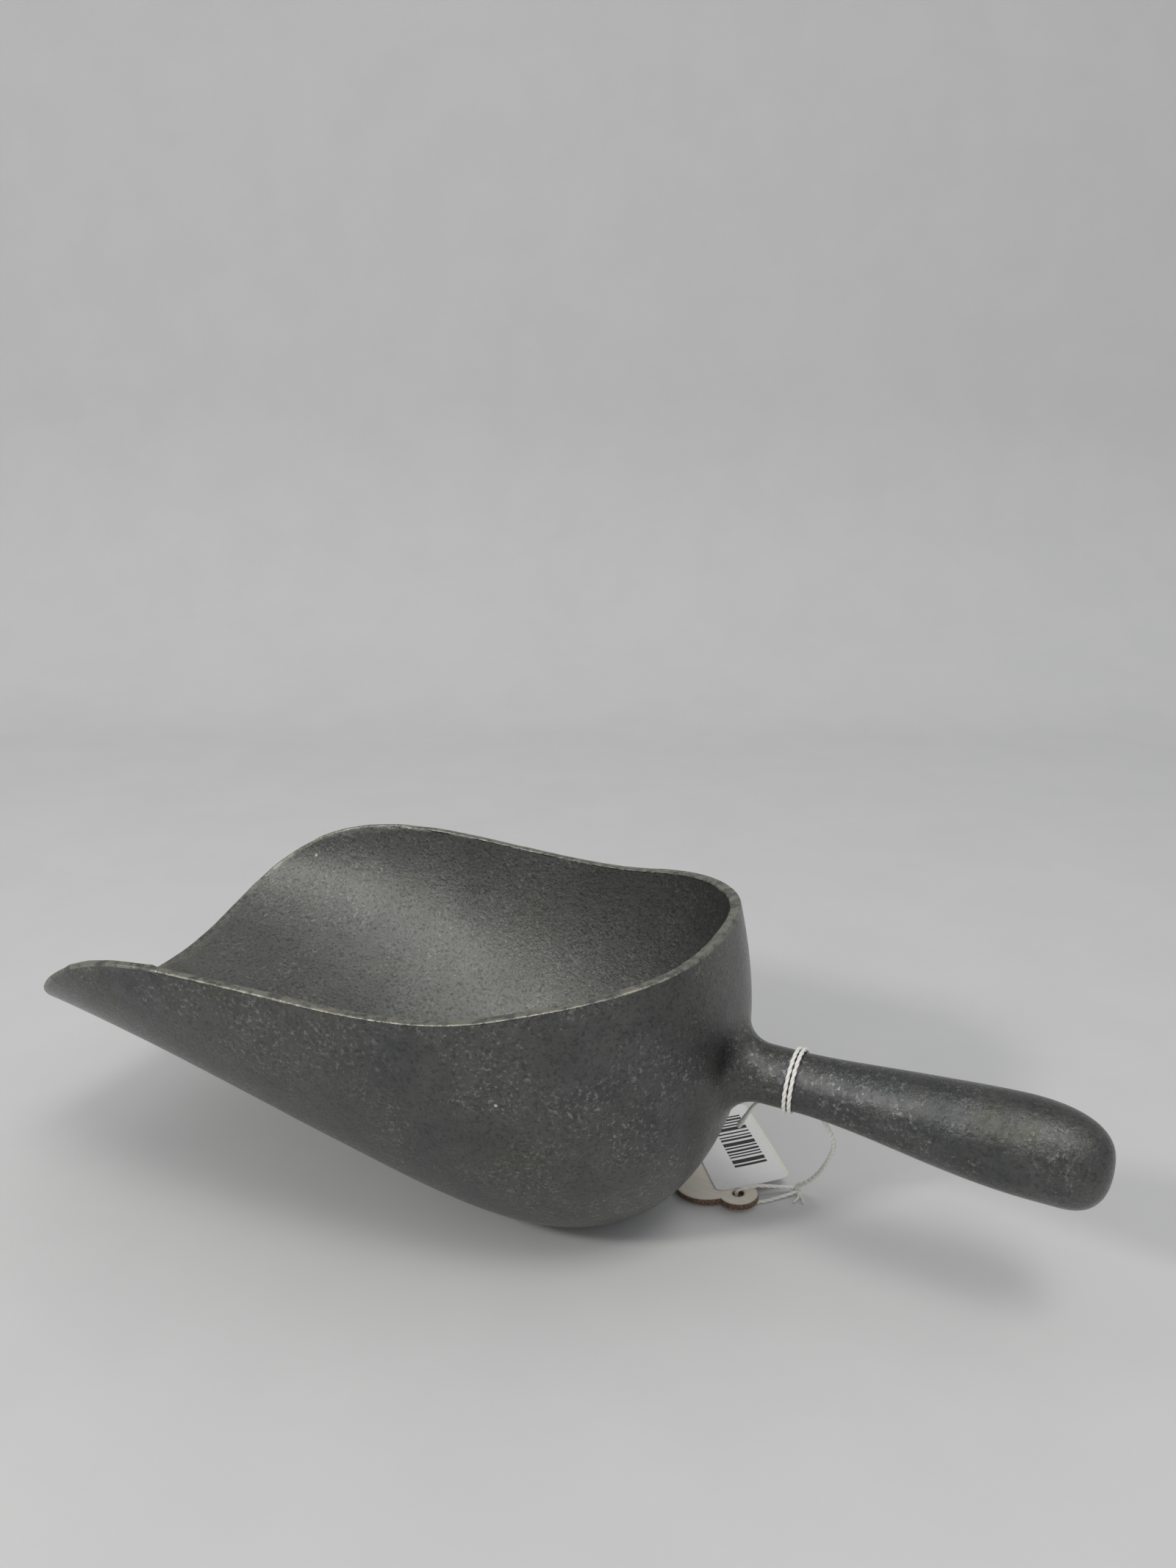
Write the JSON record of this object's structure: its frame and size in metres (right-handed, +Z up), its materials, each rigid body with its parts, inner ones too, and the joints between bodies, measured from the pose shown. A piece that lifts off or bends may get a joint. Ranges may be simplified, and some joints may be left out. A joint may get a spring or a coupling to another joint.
{
  "type": "ice scoop",
  "caption": "Cast aluminium ice scoop resting on its heel, with a deep open bowl, a round handle, and a wooden tag and paper label on a string round the neck.",
  "frame": {"origin": "centre of the flat on the bowl's heel, which is the point the scoop stands on, level with the table", "axes": "+X from the heel along the handle to its rounded end, +Y across the bowl, +Z up; the scoop stands as it does on a table, with its lip and its handle's end clear of it"},
  "size_m": [0.3475, 0.1513, 0.1094],
  "materials": {
    "cast_metal": "aged sand-cast aluminium, satin, with a fine pebbled grain",
    "cotton_string": "undyed twisted cotton string",
    "tag_wood": "bare birch ply with a scorched laser-cut edge",
    "label_paper": "matte white label paper"
  },
  "bodies": {
    "scoop": {"scoop_casting": "cast_metal"},
    "string": {"string_loop": "cotton_string"},
    "tag": {"string_knot": "cotton_string", "string_tag_end": "cotton_string", "wood_tag": "tag_wood", "paper_label": "label_paper"}
  },
  "joints": [
    {"name": "string_swing", "type": "hinge", "parent": "scoop", "child": "string", "pos_m": [0.07386, 0, 0.06373], "axis": [0.999, 0, -0.0436], "range_deg": [-45, 4]},
    {"name": "tag_swing", "type": "hinge", "parent": "string", "child": "tag", "pos_m": [0.07125, 0.0323, 0.0017], "axis": [0, 1, 0], "range_deg": [-75, 5]}
  ]
}
